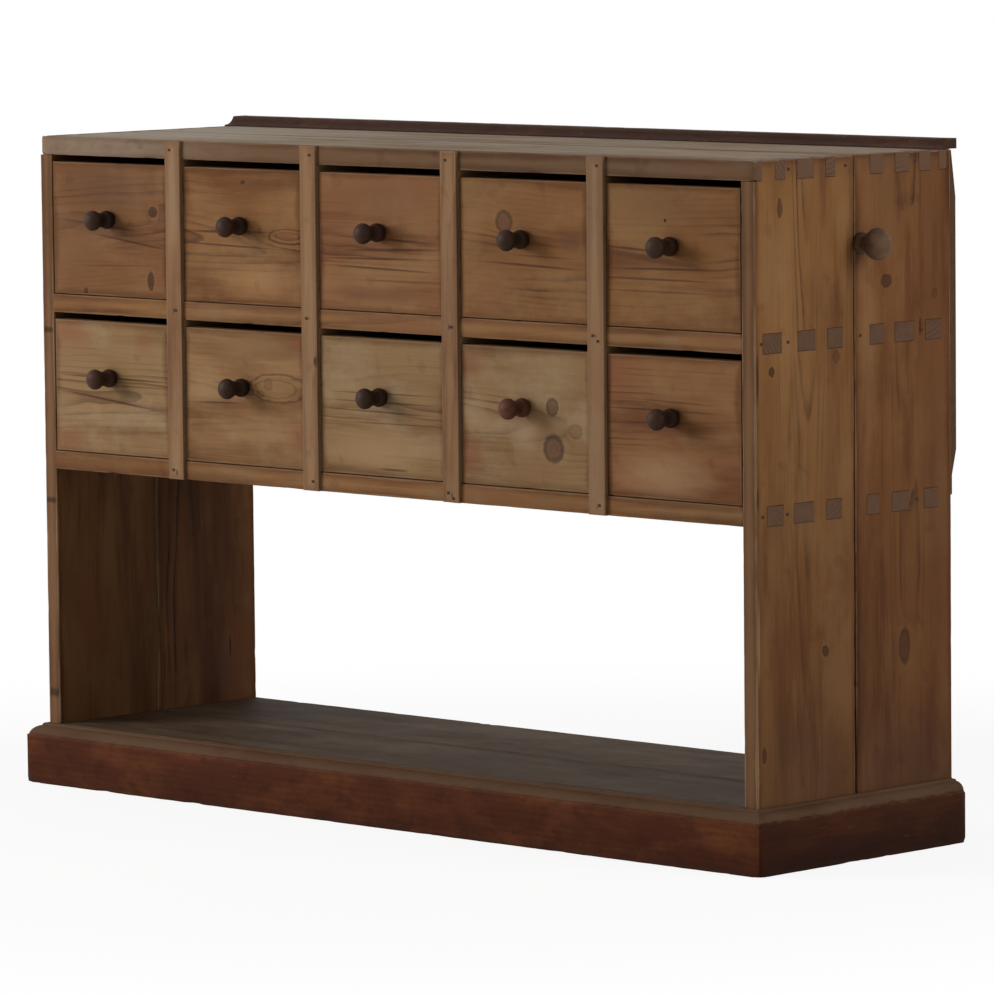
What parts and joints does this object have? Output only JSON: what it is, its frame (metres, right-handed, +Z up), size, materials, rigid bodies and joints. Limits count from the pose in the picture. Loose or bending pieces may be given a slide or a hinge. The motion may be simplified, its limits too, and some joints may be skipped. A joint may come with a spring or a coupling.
{
  "type": "seed storage cabinet",
  "caption": "Free-standing pine seed cabinet: two rows of small drawers with turned knobs over an open bay, on a coved plinth.",
  "frame": {"origin": "on the floor in the middle of the carcass, under the floor bearer", "axes": "+X to the right along the length, +Y from the front to the back, +Z up"},
  "size_m": [1.4217, 0.4457, 0.934],
  "materials": {
    "pine_front": "waxed old pine, warm brown, of the fronts, strips and rails",
    "pine_side": "waxed old pine, darker brown, of the sides",
    "pine_top": "worn old pine, greyish, of the top and floor",
    "pine_inner": "bare old pine of the drawers' insides and the back",
    "plinth_stain": "old red-brown stain, worn on the edges",
    "knob_dark": "dark turned wood, polished by use",
    "knob_brown": "brown turned wood, polished by use",
    "nail_iron": "blackened iron"
  },
  "bodies": {
    "carcass": {"side_left_front_board": "pine_side", "side_left_rear_board": "pine_side", "side_right_front_board": "pine_side", "side_right_rear_board": "pine_side", "top_front_board": "pine_top", "middle_shelf_front_board": "pine_front", "drawer_deck_front_board": "pine_front", "floor_front_board": "pine_top", "top_rear_board": "pine_top", "middle_shelf_rear_board": "pine_front", "drawer_deck_rear_board": "pine_front", "floor_rear_board": "pine_top", "floor_bearer": "pine_top", "floor_rear_rail": "pine_top", "plinth_front": "plinth_stain", "plinth_left": "plinth_stain", "plinth_right": "plinth_stain", "top_upstand": "plinth_stain", "back_upper_board": "pine_inner", "back_middle_board": "pine_inner", "back_lower_board": "pine_inner", "dividers": "pine_inner", "divider_strip_1": "pine_front", "divider_strip_2": "pine_front", "divider_strip_3": "pine_front", "divider_strip_4": "pine_front", "drawer_stops": "pine_inner", "cut_nails": "nail_iron", "side_knob": "knob_brown"},
    "drawer_upper_1": {"drawer_upper_1_front": "pine_front", "drawer_upper_1_box": "pine_inner", "drawer_upper_1_knob": "knob_dark"},
    "drawer_upper_2": {"drawer_upper_2_front": "pine_front", "drawer_upper_2_box": "pine_inner", "drawer_upper_2_knob": "knob_dark"},
    "drawer_upper_3": {"drawer_upper_3_front": "pine_front", "drawer_upper_3_box": "pine_inner", "drawer_upper_3_knob": "knob_dark"},
    "drawer_upper_4": {"drawer_upper_4_front": "pine_front", "drawer_upper_4_box": "pine_inner", "drawer_upper_4_knob": "knob_dark"},
    "drawer_upper_5": {"drawer_upper_5_front": "pine_front", "drawer_upper_5_box": "pine_inner", "drawer_upper_5_knob": "knob_dark"},
    "drawer_lower_1": {"drawer_lower_1_front": "pine_front", "drawer_lower_1_box": "pine_inner", "drawer_lower_1_knob": "knob_dark"},
    "drawer_lower_2": {"drawer_lower_2_front": "pine_front", "drawer_lower_2_box": "pine_inner", "drawer_lower_2_knob": "knob_dark"},
    "drawer_lower_3": {"drawer_lower_3_front": "pine_front", "drawer_lower_3_box": "pine_inner", "drawer_lower_3_knob": "knob_dark"},
    "drawer_lower_4": {"drawer_lower_4_front": "pine_front", "drawer_lower_4_box": "pine_inner", "drawer_lower_4_knob": "knob_dark"},
    "drawer_lower_5": {"drawer_lower_5_front": "pine_front", "drawer_lower_5_box": "pine_inner", "drawer_lower_5_knob": "knob_dark"}
  },
  "joints": [
    {"name": "drawer_upper_1_slide", "type": "slide", "parent": "carcass", "child": "drawer_upper_1", "axis": [0, -1, 0], "range_m": [0, 0.29]},
    {"name": "drawer_upper_2_slide", "type": "slide", "parent": "carcass", "child": "drawer_upper_2", "axis": [0, -1, 0], "range_m": [0, 0.29]},
    {"name": "drawer_upper_3_slide", "type": "slide", "parent": "carcass", "child": "drawer_upper_3", "axis": [0, -1, 0], "range_m": [0, 0.29]},
    {"name": "drawer_upper_4_slide", "type": "slide", "parent": "carcass", "child": "drawer_upper_4", "axis": [0, -1, 0], "range_m": [0, 0.29]},
    {"name": "drawer_upper_5_slide", "type": "slide", "parent": "carcass", "child": "drawer_upper_5", "axis": [0, -1, 0], "range_m": [0, 0.29]},
    {"name": "drawer_lower_1_slide", "type": "slide", "parent": "carcass", "child": "drawer_lower_1", "axis": [0, -1, 0], "range_m": [0, 0.29]},
    {"name": "drawer_lower_2_slide", "type": "slide", "parent": "carcass", "child": "drawer_lower_2", "axis": [0, -1, 0], "range_m": [0, 0.29]},
    {"name": "drawer_lower_3_slide", "type": "slide", "parent": "carcass", "child": "drawer_lower_3", "axis": [0, -1, 0], "range_m": [0, 0.29]},
    {"name": "drawer_lower_4_slide", "type": "slide", "parent": "carcass", "child": "drawer_lower_4", "axis": [0, -1, 0], "range_m": [0, 0.29]},
    {"name": "drawer_lower_5_slide", "type": "slide", "parent": "carcass", "child": "drawer_lower_5", "axis": [0, -1, 0], "range_m": [0, 0.29]}
  ]
}
